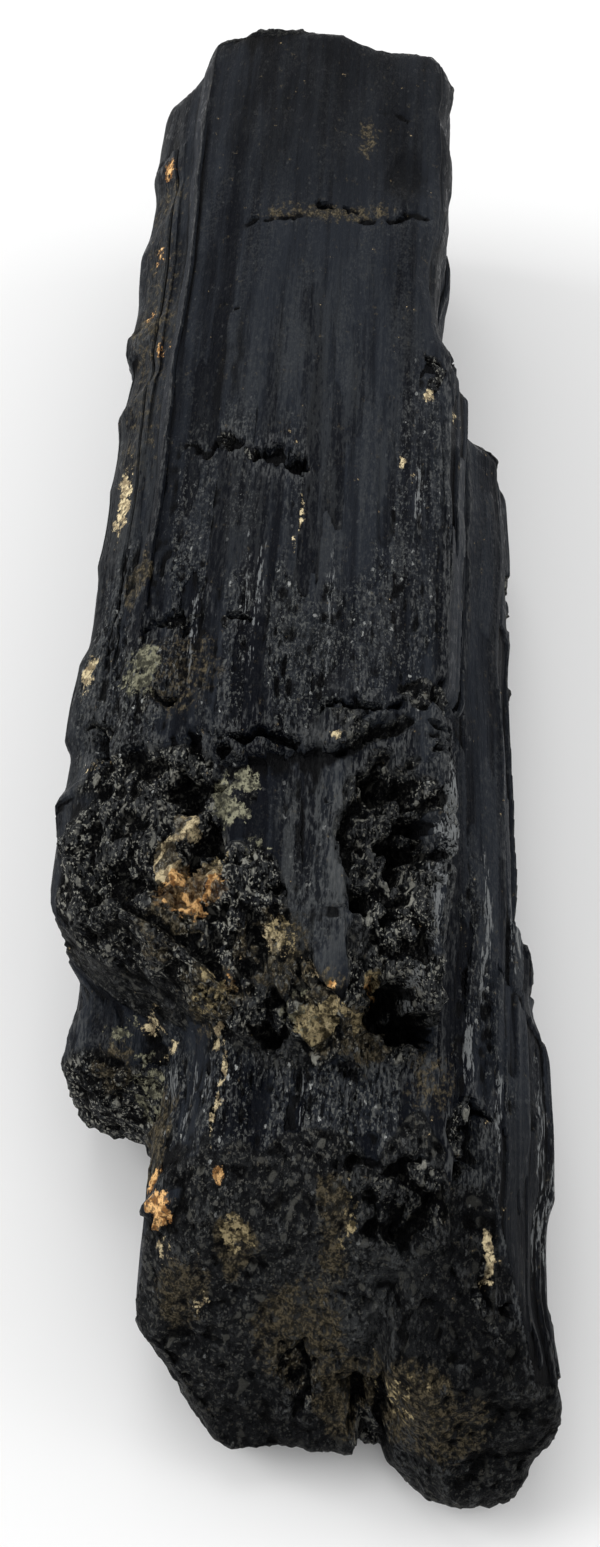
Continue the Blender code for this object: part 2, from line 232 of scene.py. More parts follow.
# Grown faces whose fibres have frayed: centre, half sizes, strength.
FRAYED = [
    ((-14, -10, 26), (8, 18, 8), 1),
    ((-6, -14, 30), (9, 12, 4), 0.8),
    ((-2.6, -12, 30), (1, 12, 3), 1),
    ((1.6, -12, 30), (1.2, 10, 3), 1),
    ((6.6, -10, 29), (5, 12, 4), 0.7),
    ((9, 6, 29), (4, 20, 4), 0.5),
    ((-8, 8, 30), (10, 9, 4), 0.45),
    ((8, -21, 28), (5, 5, 4), 0.5),
    ((0.5, -31, 28), (3.6, 13, 4), 0.45),
    ((0, -46.5, 22), (13, 6, 5), 1),
    ((0, -52, 21), (13, 4, 5), 0.8),
    ((-10, -48, 17), (4, 8, 6), 0.8),
    ((14.5, -46, 18), (3, 14, 4), 0.8),
    ((11.5, -32, 25), (0.9, 15, 4), 1),
    ((13.6, -36, 19), (0.9, 13, 4), 0.9),
]

# What only colours the stone, some of it painted sheen and painted shade. For each kind, its patches:
# centre, half sizes across and along, and up where that isn't STAIN_UP, and strength.
STAIN_UP = 6
STAINS = {
    "fibre": [  # pale loose fibres
        ((11.2, -26, 27), (0.5, 5.5), 1), ((10.5, -35, 26.4), (0.5, 5.5), 1),
        ((9.6, -40.6, 25.4), (0.5, 2.6), 0.9), ((14.8, -31.5, 19), (0.45, 8.5), 1),
        ((13.8, -42.6, 19), (0.5, 4), 0.9), ((17.5, -29.5, 14), (0.45, 5.5), 0.9),
        ((16.1, -47, 18), (0.5, 4.5), 0.9), ((19.8, -45.5, 12.6), (0.6, 6, 5), 0.7),
        ((20.2, -53.5, 11.6), (0.6, 6, 5), 0.7), ((-6, -6, 30), (0.4, 9), 0.55),
        ((-4.9, -8, 30), (0.35, 11), 0.66), ((1.2, -6.5, 30), (0.35, 11), 0.66),
        ((8.5, 6, 29), (0.4, 5), 0.85), ((-10.4, -11, 30), (0.4, 7), 0.85),
        ((-10.1, -45.6, 16.5), (0.5, 4.5), 0.7), ((-6.8, -47, 21.5), (0.4, 3), 0.7),
        ((-8.2, -48, 20), (0.4, 4), 0.7), ((0.6, -48, 21.5), (0.4, 3.4), 0.6),
    ],
    "pale": [  # grey-green crust
        ((-7.2, -25.6, 27.8), (1, 2), 0.9), ((-4.9, -24.8, 28), (1.6, 1.6), 0.75),
        ((-6.2, -27.6, 27.8), (2, 1.4), 0.9), ((-3.8, -31, 28), (1.2, 2), 0.45),
        ((-12, -44.5, 15), (1.6, 3), 0.62), ((-0.4, -42.4, 22.6), (2.4, 1.6), 0.6),
        ((-14.4, -40.4, 14.4), (2.2, 1.6), 0.6), ((-14.4, -13.6, 29), (1.9, 3.2), 0.8),
    ],
    "cream": [  # cream clay
        ((-9.8, -28.7, 27.2), (1.2, 1.8), 1.3), ((-11, -31.8, 27), (0.8, 3), 1.4),
        ((-8, -33, 27), (2.2, 1), 1.1), ((-7.6, -32.9, 27.2), (1.2, 1.1), 0.5),
        ((-2.2, -38.4, 28), (1.3, 2), 0.55), ((0.8, -40.6, 26.4), (0.9, 1.2), 0.6),
        ((3.6, -43.6, 22), (3.4, 1), 0.6), ((2.6, -20, 27.8), (0.6, 0.8), 0.8),
        ((-5.3, -48, 21.6), (0.42, 6), 0.62), ((-6.2, -43.4, 21.2), (0.5, 1.2), 0.8),
        ((-12.2, -40.3, 15.8), (1, 0.8), 0.7), ((-10.5, -42, 15.2), (1.1, 0.8), 0.65),
        ((-8.7, -58.2, 16.2), (0.9, 1.4), 0.45), ((-5.8, -61.4, 13.6), (0.8, 1), 0.55),
        ((15.3, -57.9, 17.5), (0.55, 2.5), 1.1), ((-18.9, 9, 24.6), (1.1, 4.6), 0.8),
        ((-19.3, -10.4, 24.4), (0.8, 3), 0.75), ((-17.7, -20.9, 25), (1.3, 1), 0.5),
        ((-18.2, 43, 25.4), (0.6, 1), 0.8), ((-16.8, 28.2, 26.4), (0.6, 0.9), 0.8),
        ((9.3, 18.8, 28.6), (0.7, 1.2), 0.6), ((12.2, 19.2, 26), (0.8, 1), 0.55),
        ((7.2, 10.2, 29.4), (0.45, 0.6), 0.8), ((8.1, 8.6, 29.2), (0.35, 1.4), 0.7),
        ((-2, 2, 30.4), (0.32, 5.4), 0.66),
    ],
    "ochre": [  # golden crust
        ((-1.6, -37.6, 26), (1.8, 2.2), 0.8), ((2.7, -43.2, 22.8), (3.6, 1.1), 1.25),
        ((0.4, -43, 23.4), (1.8, 1.2), 0.7), ((2.5, -41.2, 25.4), (1, 1.5), 0.85),
        ((6.7, -40.6, 25), (1, 1.5), 0.8), ((-3.4, -57.5, 17.5), (1.3, 1.7), 0.8),
        ((-6.6, -41.6, 25), (1.8, 1.4), 0.6), ((-6.8, -33, 26.8), (2, 2.6), 0.5),
        ((4.4, -56, 20), (0.6, 3.4), 0.5), ((9.4, -66.4, 11), (3, 1.8), 0.5),
    ],
    "orange": [  # iron stain
        ((-9.6, -34.6, 27), (2.6, 2.8), 1.05), ((-7.6, -34.4, 27), (1.9, 2.2), 1.1),
        ((-8.6, -37, 26.8), (1.2, 1.4), 0.5), ((-5.6, -41.4, 26), (0.7, 1.2), 0.6),
        ((2.6, -41.8, 25.4), (1, 0.9), 0.7), ((6.5, -41, 24.6), (0.9, 1.3), 0.8),
        ((-4.8, -53.8, 21.4), (0.6, 1.2), 0.8), ((-9, -55.4, 19.4), (1.2, 1.9), 1),
        ((-10.2, -53, 16.4), (0.8, 1.4), 0.7), ((-18.2, 43, 25.4), (0.9, 1.4), 0.9),
        ((-16.8, 28.2, 26.4), (0.9, 1.4), 0.9), ((-18.8, 56.8, 25.2), (0.8, 1.3), 0.8),
        ((-18.8, 34, 24), (0.6, 1.2), 0.5),
    ],
    "dust": [  # brown dust
        ((-2.4, -38.8, 27.5), (3.4, 3.4), 0.8), ((-7, -41.8, 25), (3, 2), 0.7),
        ((-9.6, -36, 26.8), (3.4, 4), 0.8), ((6.4, -40.8, 24), (1.6, 1.8), 0.5),
        ((-11, -14, 29), (4, 5), 0.45), ((1.6, -41.6, 25.4), (3.2, 2.2), 0.9),
        ((4, -43.8, 22.6), (4.2, 2), 0.8), ((10.6, -46, 20.6), (2.2, 2.6), 0.40),
        ((-14.4, -42.6, 12.5), (2.6, 2.4), 0.7), ((-10.6, -49, 14.4), (1.6, 5), 0.9),
        ((-3.4, -58.4, 19), (1.8, 2.2), 1), ((-7.6, -60.8, 15), (2.6, 2.4), 0.8),
        ((3.3, -55.4, 20.2), (1.2, 2.8), 0.9), ((3.4, -58.4, 18), (1, 2.4), 0.7),
        ((1.4, -62.6, 11.8), (4, 4.2), 0.8), ((7, -65.6, 8), (5, 3.4), 1),
        ((9.4, -66.8, 12), (4.4, 2.6), 0.9), ((12, -68.4, 11), (5, 2.4), 0.6),
        ((-15.9, -2.2, 26.8), (1.6, 3), 1), ((-18, 28, 24.6), (3, 24), 0.3), ((-18.6, 52, 24), (3, 4), 0.4),
        ((-18.6, 33, 24), (3, 3), 0.5), ((-1.6, 43.6, 30.2), (8, 1.3), 0.75), ((2.4, 56, 30), (1.2, 4), 0.6),
    ],
    "grey": [  # slate-grey patches, partly painted sheen
        ((-3.2, -40.6, 25), (4, 2.6, 5), 0.6), ((5.5, -61, 14.5), (7, 6), 0.5),
        ((1.4, -30, 28), (4, 13), 0.9), ((8, -20, 28), (4, 4), 0.3), ((-18.6, 22, 24), (3.6, 50), 0.4),
        ((0, 10, 30), (13, 28, 8), 0.26),
    ],
    "black": [  # darker patches, partly painted shade in pits, the undercut and a dent
        ((16, -60, 8), (11, 18, 16), 1), ((2, -70, 6), (16, 6, 8), 0.7), ((-12, -29, 26), (5, 5), 0.5),
        ((-13, -36, 24), (6, 4), 0.5), ((8, -29, 28), (4, 6), 0.7), ((6.5, 50.6, 29.5), (2.4, 5), 1),
        ((-8.8, 22.5, 30), (0.5, 6.5), 1), ((-10.4, 20.5, 29.5), (0.5, 5.5), 1),
        ((-7.2, 57, 30), (1.5, 10), 0.8), ((-1, 64, 29), (14, 22, 9), 0.55),
        ((8.7, -55.8, 20.6), (3.6, 3.4), 1), ((8.2, -42.3, 24), (3.2, 2.9), 1),
    ],
}

BREAK_Y = -21.6             # the break across the top of the main column, on its left
BREAK_SLOPE = 0.42          # how fast the break runs back towards the right
BREAK_DROP, BREAK_RUN = 1.3, 1.2        # how far the broken ground lies below the main face, and its ramp
BREAK_FADE = 4, 9           # the drop fades out between these places across the log
CREVICE_WIDTH, CREVICE_DEPTH = 0.5, 0.5
TOP_FROM = 26.0             # height above which the break crosses the log
CRACKS_FROM = 19.0          # height above which the cracks are cut
LEVEL_BELOW, CARVED_FROM = 0.5, 2.5     # the resting side is level up to one height, carved from the next
UNDERSIDE_GROOVES = 0.35

# The line that the rays start from: where it lies under the near columns, and how far it has moved under
# the far ones. Its ends, and where the rays begin to lean, as places along y.
NEAR_X, NEAR_Z, SHIFT_X, SHIFT_Z = 4.5, 8.5, -8, 6
NEAR_CAP, UPRIGHT_FROM, FAR_CAP = -52, -8, 56
NEAR_LEAN = -35             # degrees that the rays lean by at the near end of the line
CAP_RINGS, NEAR_RINGS, FAR_RINGS = 0.17, 0.33, 0.35     # shares of the rings

# Heights of the layers of relief, in millimetres.
FLUTES, GROOVES, FINE_RIBS, HAIRLINES = 0.36, 0.22, 0.08, 0.04
PLATE_STEP, SIDE_PLATE_STEP = 0.14, 0.34
BIG_LUMPS, LUMPS, CHIPS, CHIP_DOMES, SPLINTERS, CRUMBS = 0.75, 0.50, 0.50, 0.30, 0.45, 0.32
LONG_FIBRES, SHORT_FIBRES = 0.22, 0.14
SLOW_WAVES, QUICK_WAVES = 0.42, 0.10
SLOW_BEND, QUICK_BEND = 0.32, 0.16
RAISED_NEAR, RAISED_WIDE = 0.5, 2.4     # heights above the ground near by and around that count as raised
SUNK = 0.2                  # the whole skin is sunk this far, so that its ribs stay within the columns
PLATE_WIDTH, PLATE_LENGTH, SPLINTER_WIDTH = 1.6, 17.0, 1.7
FACE_APART = 31.7           # moves each face to ribs of its own
SKEWED = np.array([[0.80, 0.36, -0.48], [-0.60, 0.48, -0.64], [0.0, 0.80, 0.60]])


# ---------------- noise, as whole arrays

def smooth(low, high, value):
    """0 below low, 1 above high, and an S curve between them."""
    t = np.clip((value - low) / (high - low), 0, 1)
    return t * t * (3 - 2 * t)


def scatter(ix, iy, iz, seed):
    """A number from 0 to 1 for each whole-numbered cell: its indices multiplied and mixed bit by bit."""
    h = (ix.astype(np.int64) * 374761393 + iy.astype(np.int64) * 668265263
         + iz.astype(np.int64) * 2147483647 + seed * 974634777) & 0xFFFFFFFF
    h = ((h ^ (h >> 13)) * 1274126177) & 0xFFFFFFFF
    h = ((h ^ (h >> 16)) * 2246822519) & 0xFFFFFFFF
    return ((h ^ (h >> 15)) & 0xFFFFFF) / float(0xFFFFFF)


def noise(points, size, seed):
    """Smooth noise from -1 to 1: scattered values at the corners of cells of a size, blended inside them."""
    at = points / np.asarray(size, float) + seed * 0.37
    cell = np.floor(at)
    f = at - cell
    f = f * f * f * (f * (6 * f - 15) + 10)
    cell = cell.astype(np.int64)
    total = 0
    for dx in (0, 1):
        wx = f[..., 0] if dx else 1 - f[..., 0]
        for dy in (0, 1):
            wy = f[..., 1] if dy else 1 - f[..., 1]
            for dz in (0, 1):
                wz = f[..., 2] if dz else 1 - f[..., 2]
                total = total + wx * wy * wz * scatter(cell[..., 0] + dx, cell[..., 1] + dy,
                                                       cell[..., 2] + dz, seed)
    return total * 2 - 1


def cells(points, size, seed):
    """Grains: each point's distance to the nearest of one scattered seed per cell, and that seed's number."""
    at = points / np.asarray(size, float)
    cell = np.floor(at).astype(np.int64)
    near = np.full(at.shape[:-1], 9.0)
    own = np.zeros_like(near)
    for dx in (-1, 0, 1):
        for dy in (-1, 0, 1):
            for dz in (-1, 0, 1):
                ix, iy, iz = cell[..., 0] + dx, cell[..., 1] + dy, cell[..., 2] + dz
                away = ((ix + scatter(ix, iy, iz, seed) - at[..., 0]) ** 2
                        + (iy + scatter(ix, iy, iz, seed + 1) - at[..., 1]) ** 2
                        + (iz + scatter(ix, iy, iz, seed + 2) - at[..., 2]) ** 2)
                away = np.sqrt(away)
                nearer = away < near
                own = np.where(nearer, scatter(ix, iy, iz, seed + 3), own)
                near = np.where(nearer, away, near)
    return near, own


# ---------------- the skin

def column_planes(outline, ends):
    """The flat sides and broken ends of a column, as outward directions, offsets and a flag for the ends."""
    normals, offsets, broken = [], [], []
    for (ax, az), (bx, bz) in zip(outline, outline[1:] + outline[:1]):
        n = np.array([bz - az, 0.0, ax - bx])
        n /= np.linalg.norm(n)
        normals.append(n)
        offsets.append(n @ np.array([ax, 0.0, az]))
        broken.append(0.0)
    for point, direction in ends:
        n = np.array(direction, float)
        n /= np.linalg.norm(n)
        normals.append(n)
        offsets.append(n @ np.array(point, float))
        broken.append(1.0)
    return np.array(normals), np.array(offsets), np.array(broken)


def ray_fan():
    """Where rays start and where they point: they turn about a line through the log, and lean over towards
    its ends so that they meet the broken faces squarely."""
    near_cap, near_run, far_run = (int(ALONG * share) for share in (CAP_RINGS, NEAR_RINGS, FAR_RINGS))
    far_cap = ALONG - near_cap - near_run - far_run
    y = np.concatenate([np.full(near_cap, NEAR_CAP),
                        np.linspace(NEAR_CAP, UPRIGHT_FROM, near_run, endpoint=False),
                        np.linspace(UPRIGHT_FROM, FAR_CAP, far_run, endpoint=False),
                        np.full(far_cap, FAR_CAP)])
    lean = np.concatenate([np.linspace(-90, NEAR_LEAN, near_cap, endpoint=False),
                           np.linspace(NEAR_LEAN, 0, near_run, endpoint=False),
                           np.zeros(far_run), np.linspace(0, 90, far_cap)])
    lean = np.radians(lean)[:, None]
    turn = (np.arange(ROUND) / ROUND * 2 * math.pi)[None, :]
    shift = smooth(NEAR_CAP, -2, y)
    start = np.stack([NEAR_X + SHIFT_X * shift, y, NEAR_Z + SHIFT_Z * shift], axis=-1)
    start = np.broadcast_to(start[:, None, :], (ALONG, ROUND, 3))
    way = np.stack([np.cos(lean) * np.cos(turn), np.sin(lean) * np.ones_like(turn),
                    np.cos(lean) * np.sin(turn)], axis=-1)
    return start, way


def outermost(start, way):
    """Each ray's last meeting with any column: its distance, the face's direction, whether it is a break,
    and the face's number."""
    reach = np.zeros(way.shape[:-1])
    facing = np.zeros_like(way)
    broken = np.zeros_like(reach)
    face = np.zeros(reach.shape, int)
    count = 0
    for outline, ends in COLUMNS.values():
        normals, offsets, flags = column_planes(outline, ends)
        along = way @ normals.T
        room = offsets - start @ normals.T
        with np.errstate(divide="ignore", invalid="ignore"):
            t = room / along
        leave = np.where(along > 1e-9, t, np.inf)
        enter = np.where(along < -1e-9, t, -np.inf).max(-1)
        enter = np.where(((np.abs(along) <= 1e-9) & (room < 0)).any(-1), np.inf, enter)
        which = leave.argmin(-1)
        out = leave.min(-1)
        better = (out > enter) & (out > reach)
        reach = np.where(better, out, reach)
        facing[better] = normals[which[better]]
        broken[better] = flags[which[better]]
        face[better] = which[better] + count
        count += len(offsets)
    return reach, facing, broken, face


def swell(points, centre, half):
    """1 at the middle of an ellipsoid and 0 outside it."""
    away = (((points - np.array(centre)) / np.array(half)) ** 2).sum(-1)
    return np.clip(1 - away, 0, 1)


def turned(points):
    """The points on skewed axes, so that the cells of noise don't line up with the log."""
    return points @ SKEWED


def ragged(points, amount, size, seed):
    """The points moved about by noise, which gives whatever is measured from them a ragged border."""
    skew = turned(points)
    return points + amount * np.stack([noise(skew, size, seed + k) for k in range(3)], axis=-1)


def smooth_plate(points):
    """1 on the smooth plate and 0 beside it, with a border splintered along y."""
    x, y, z = points[..., 0], points[..., 1], points[..., 2]
    wander = 0.9 * noise(points, (0.8, 3.6, 5), 121) + 0.7 * noise(points, (2.2, 5, 5), 122)
    inside = np.interp(y, PLATE_Y, PLATE_HALF) + wander - np.abs(x - np.interp(y, PLATE_Y, PLATE_MIDDLE))
    return smooth(-0.25, 0.25, inside) * smooth(22, 25, z) * (y > PLATE_Y[0])


def brokenness(points, flags):
    """1 on ground that broke and 0 on grown faces, and how coarse that ground is."""
    uneven = eased(eased(flags, 2), 4, 4) + 0.36 * noise(points, (1.6, 3.2, 1.6), 65)
    total = smooth(0.45, 0.75, uneven)
    coarse = END_COARSE * total
    moved = ragged(points, 1.6, (2.2, 4, 2.2), 61)
    patches = [(centre, half, rough, 0.05, 0.45) for centre, half, rough in BROKEN]
    patches += [(centre, half, PIT_COARSE, 0.02, 0.2) for centre, half, _ in HOLLOWS]
    for centre, half, rough, low, high in patches:
        here = smooth(low, high, swell(moved, centre, half))
        total = np.maximum(total, here)
        coarse = np.maximum(coarse, rough * here)
    spared = 1 - 0.92 * smooth_plate(points)
    return total * spared, coarse * spared


def frays(points):
    """How far the fibres of a grown face have frayed, from 0 to 1."""
    moved = ragged(points, 1.2, (1.6, 6, 1.6), 131)
    total = np.zeros(points.shape[:-1])
    for centre, half, strength in FRAYED:
        total = np.maximum(total, strength * smooth(0, 0.6, swell(moved, centre, half)))
    return total


def stains(points):
    """Each kind of crust or dust as a field that is highest in the middle of its patches."""
    moved = ragged(points, 0.5, (1.3, 1.7, 1.3), 141)
    straight = ragged(points, 0.25, (2.5, 6, 2.5), 146)
    fields = {}
    for kind, patches in STAINS.items():
        at = straight if kind == "fibre" else moved
        fields[kind] = np.zeros(points.shape[:-1])
        for centre, half, strength in patches:
            inside = swell(at, centre, (*half, STAIN_UP)[:3])
            fields[kind] = np.maximum(fields[kind], strength * inside ** 0.5)
    return fields


def cracks(points, level):
    """The depth of the cracks: a narrow bell curve of the distance to each run of straight lines."""
    flat = ragged(ragged(points, 0.8, (2.1, 2.1, 2.1), 151), 0.45, (0.7, 0.7, 0.7), 154)[..., :2]
    top = smooth(0.3, 0.6, level) * (points[..., 2] > CRACKS_FROM)
    depth = np.zeros(points.shape[:-1])
    wide = 1 + 0.7 * noise(turned(points), 0.9, 158)
    for run, width, deep in CRACKS:
        away = np.full(points.shape[:-1], 9.0)
        for start, end in zip(run, run[1:]):
            start, way = np.array(start), np.array(end) - np.array(start)
            along = np.clip((flat - start) @ way / (way @ way), 0, 1)
            away = np.minimum(away, np.linalg.norm(flat - start - along[..., None] * way, axis=-1))
        depth = np.maximum(depth, deep * np.exp(-(away / (width * wide)) ** 2))
    return depth * top * smooth(-0.55, 0.25, noise(turned(points), 1.3, 157))


def lanes(across, y, width, seed):
    """The number of the lane that each point lies in: strips along the log whose borders wander a little."""
    spare = np.zeros_like(across)
    wander = 0.4 * noise(np.stack([across, y, spare], axis=-1), (3, 30, 1), seed)
    return np.floor(across / width + wander)


def face_axes(points, facing, face):
    """Each point's place across its own flat face, and along the log. The upper faces share one measure."""
    across = points[..., 0] * -facing[..., 2] + points[..., 2] * facing[..., 0] + face * FACE_APART
    return np.where(facing[..., 2] > 0.9, -points[..., 0], across), points[..., 1]


def plates(across, y):
    """A random number for each narrow plate: a lane across the face, cut into lengths of its own. The plates
    differ less towards the far end."""
    spare = np.zeros_like(across)
    lane = lanes(across, y, PLATE_WIDTH, 9)
    wander = 3.0 * noise(np.stack([across, y, spare], axis=-1), (0.8, 6, 1), 10)
    stage = np.floor((y + wander) / PLATE_LENGTH + 9 * scatter(lane, spare, spare, 3))
    return 0.5 + (scatter(lane, stage, spare, 4) - 0.5) * (0.25 + 0.75 * smooth(48, 2, y))


def ribs(across, y, sharp):
    """Ribs along the log: height noise across each flat face that barely changes along it, as broad flutes,
    as ribs with more or less sharp grooves, and as hairlines."""
    at = np.stack([across, y, np.zeros_like(across)], axis=-1)
    flutes = noise(at, (5.2, 120, 1), 5)
    grooves = 1 - np.abs(noise(at, (2.3, 55, 1), 6)) ** 0.7
    fine = noise(at, (0.75, 18, 1), 7)
    hair = noise(at, (0.36, 7, 1), 8)
    return FLUTES * flutes - GROOVES * sharp * grooves + FINE_RIBS * fine + HAIRLINES * hair


def grain(points):
    """Broken stone: lumps of three sizes, with the ridges and splinters between them drawn out along y."""
    skew = turned(points)
    lumps = BIG_LUMPS * noise(skew, 4.6, 21) + LUMPS * noise(skew, 2.1, 22)
    near, own = cells(skew, 1.5, 23)
    chips = CHIPS * (own - 0.5) + CHIP_DOMES * (0.5 - near)
    splinters = SPLINTERS * (0.4 - np.abs(noise(points, (1.0, 1.9, 1.0), 25)))
    crumbs = CRUMBS * noise(skew, 0.62, 27)
    return lumps + chips + splinters + crumbs


def loose_fibres(points):
    """Short loose fibres that lie along y, as two layers of noise."""
    longer, shorter = noise(points, (0.5, 1.9, 0.5), 33), noise(points, (0.45, 0.7, 0.45), 34)
    return LONG_FIBRES * longer + SHORT_FIBRES * shorter


def past_break(points):
    """How far a point lies beyond the break across the main face. Each lane of the stone snapped at a
    place of its own, so the edge is splintered."""
    x, y = points[..., 0], points[..., 1]
    lane = lanes(x, y, SPLINTER_WIDTH, 83)
    snapped = 1.6 * (scatter(lane, 0 * lane, 0 * lane, 84) - 0.5)
    return (BREAK_Y + BREAK_SLOPE * np.maximum(0, x + 2) - y + snapped
            + 1.6 * noise(points, (2.6, 2.6, 2.6), 81))


def relief(points, across, plate, side, broken, coarse, frayed):
    """Low relief, in millimetres below the plain columns: ribs and plates where the stone grew, frayed
    fibres, grain where it broke, and a slow unevenness."""
    grown = 1 - broken
    sharp = np.maximum(0.35 + 0.65 * frayed, side)
    depth = SUNK - (grown + 0.25 * broken) * (1 + 0.5 * side) * ribs(across, points[..., 1], sharp)
    depth -= grown * (PLATE_STEP + SIDE_PLATE_STEP * side) * (plate - 0.5)
    depth -= grown * frayed * loose_fibres(points) + coarse * grain(points)
    return depth + SLOW_WAVES * noise(points, (17, 17, 17), 53) + QUICK_WAVES * noise(points, (4, 9, 4), 54)


def bent(points):
    """The points moved sideways by slow noise, so that no long edge runs quite straight."""
    slow = [noise(points, (9, 13, 9), 171 + k) for k in range(3)]
    quick = [noise(points, (3.2, 4.6, 3.2), 181 + k) for k in range(3)]
    return points + SLOW_BEND * np.stack(slow, axis=-1) + QUICK_BEND * np.stack(quick, axis=-1)


def hollowed(points, level):
    """Deep relief, in millimetres: the ground beyond the break, its crevice, cracks, hollows and knobs."""
    x, z = points[..., 0], points[..., 2]
    moved = ragged(ragged(points, 1.2, (1.7, 2.4, 1.7), 71), 0.45, (0.6, 0.8, 0.6), 74)
    top = smooth(0.4, 0.6, level) * smooth(TOP_FROM - 1.5, TOP_FROM + 0.5, z)
    past = past_break(points)
    gap = CREVICE_DEPTH * (0.5 + 0.9 * noise(points, (3.5, 3.5, 3.5), 85))
    depth = top * BREAK_DROP * smooth(0, BREAK_RUN, past) * (1 - 0.8 * smooth(*BREAK_FADE, x))
    depth += top * np.maximum(gap, 0) * np.exp(-(past / CREVICE_WIDTH) ** 2) * smooth(-19, -14, x)
    depth += cracks(points, level)
    uneven = 0.85 + 0.5 * noise(turned(points), 1.6, 77)
    for centre, half, deep in HOLLOWS:
        depth += deep * uneven * smooth(0, 0.5, swell(moved, centre, half))
    for centre, half, high in KNOBS:
        depth -= high * smooth(0, 0.9, swell(moved, centre, half))
    return depth


def dented(points):
    """The depth of the worn dents, which have soft sides."""
    moved = ragged(points, 1.6, (5, 9, 5), 191)
    return sum(deep * smooth(0, 0.9, swell(moved, centre, half)) for centre, half, deep in DENTS)


def eased(field, passes, step=1):
    """A field over the rays, averaged with its neighbours around and along, which rounds its edges."""
    for _ in range(passes):
        field = (np.roll(field, step, 1) + 2 * field + np.roll(field, -step, 1)) / 4
        inner = (field[:-2 * step] + 2 * field[step:-step] + field[2 * step:]) / 4
        field = np.concatenate([field[:step], inner, field[-step:]])
    return field


def standing_out(depth):
    """1 where the stone stands out from the ground near it, 0 where it lies lower, 0.5 on plain ground."""
    near = depth
    for step in (1, 2, 4):
        near = eased(near, 1, step)
    wide = near
    for step in (8, 8):
        wide = eased(wide, 1, step)
    return np.clip(0.5 + (near - depth) / RAISED_NEAR + (wide - depth) / RAISED_WIDE, 0, 1)


def carved_skin():
    """The rays' ends, eased, then sunk along the face's own direction by the low relief and along the ray by
    the deep relief, and kept above the surface that the log lies on; and the masks that its finish needs."""
    start, way = ray_fan()
    reach, facing, flags, face = outermost(start, way)
    points = eased(eased(start + reach[..., None] * way, 3), 2, 3)
    broken, coarse = brokenness(points, flags)
    across, y = face_axes(points, facing, face)
    plate, frayed = plates(across, y), frays(points)
    outward = eased(facing, 3)
    outward /= np.linalg.norm(outward, axis=-1, keepdims=True)
    resting = (facing[..., 2] < -0.6) * smooth(CARVED_FROM, LEVEL_BELOW, points[..., 2])
    side = smooth(0.5, 0.85, facing[..., 0])
    square = smooth(0.05, 0.5, (way * facing).sum(-1))
    low = relief(points, across, plate, side, broken, coarse, frayed) * (1 - resting) * (0.3 + 0.7 * square)
    low += resting * np.abs(UNDERSIDE_GROOVES * noise(points, (1.6, 45, 1.6), 91))
    deep = hollowed(points, eased(facing[..., 2], 3, 3)) * (1 - resting)
    masks = {"broken": broken, "coarse": coarse, "plate": plate, "frayed": frayed,
             "raised": standing_out(low + deep)}
    masks.update(stains(points))
    deep = deep + dented(points) * (1 - resting)
    points = bent(points - outward * low[..., None] - way * deep[..., None])
    points[..., 2] = np.maximum(points[..., 2], 0)
    return points, masks


def skin_mesh(name, points):
    """A closed mesh: rings of quads, and a fan of triangles from the middle of the first and last ring."""
    rings, count = points.shape[:2]
    tips = np.stack([points[0].mean(0), points[-1].mean(0)])
    body = points[1:-1].reshape(-1, 3)
    corners = np.vstack([body, tips])
    ring = np.arange(rings - 3)[:, None] * count
    a = ring + np.arange(count)
    b = ring + (np.arange(count) + 1) % count
    quads = np.stack([a, a + count, b + count, b], axis=-1).reshape(-1, 4)
    first, last = np.arange(count), (rings - 3) * count + np.arange(count)
    step = (np.arange(count) + 1) % count
    near_tip, far_tip = len(body), len(body) + 1
    near_fan = np.stack([np.full(count, near_tip), first, first[step]], axis=-1)
    far_fan = np.stack([np.full(count, far_tip), last[step], last], axis=-1)
    mesh = bpy.data.meshes.new(name)
    loops = np.concatenate([quads.ravel(), near_fan.ravel(), far_fan.ravel()]).astype(np.int32)
    sizes = np.concatenate([np.full(len(quads), 4), np.full(2 * count, 3)]).astype(np.int32)
    mesh.vertices.add(len(corners))
    mesh.vertices.foreach_set("co", (corners * MM).astype(np.float32).ravel())
    mesh.loops.add(len(loops))
    mesh.loops.foreach_set("vertex_index", loops)
    mesh.polygons.add(len(sizes))
    mesh.polygons.foreach_set("loop_start", (np.cumsum(sizes) - sizes).astype(np.int32))
    mesh.update(calc_edges=True)
    mesh.validate()
    return mesh


def add_mask(mesh, name, values):
    layer = mesh.attributes.new(name, "FLOAT", "POINT")
    layer.data.foreach_set("value", values.astype(np.float32))


def thinned(piece, triangles):
    """The piece with flat ground drawn in fewer, larger triangles."""
    thin = piece.modifiers.new("thin", "DECIMATE")
    thin.ratio = triangles / sum(len(p.vertices) - 2 for p in piece.data.polygons)
    bpy.context.view_layer.update()
    graph = bpy.context.evaluated_depsgraph_get()
    mesh = bpy.data.meshes.new_from_object(piece.evaluated_get(graph), depsgraph=graph)
    piece.modifiers.clear()
    piece.data = mesh


def tourmaline_log():
    """The whole log as one object, with its masks, smooth between its sharp edges."""
    points, masks = carved_skin()
    mesh = skin_mesh(LOG + "_skin", points - ORIGIN)
    for name, values in masks.items():
        add_mask(mesh, name, np.concatenate([values[1:-1].ravel(), [values[0].mean(), values[-1].mean()]]))
    piece = bpy.data.objects.new("tourmaline_log", mesh)
    bpy.context.scene.collection.objects.link(piece)
    thinned(piece, SKIN_TRIANGLES)
    piece.data.shade_smooth()
    piece.data.set_sharp_from_angle(angle=math.radians(SHARP_ABOVE))
    return piece


# ---------------- materials

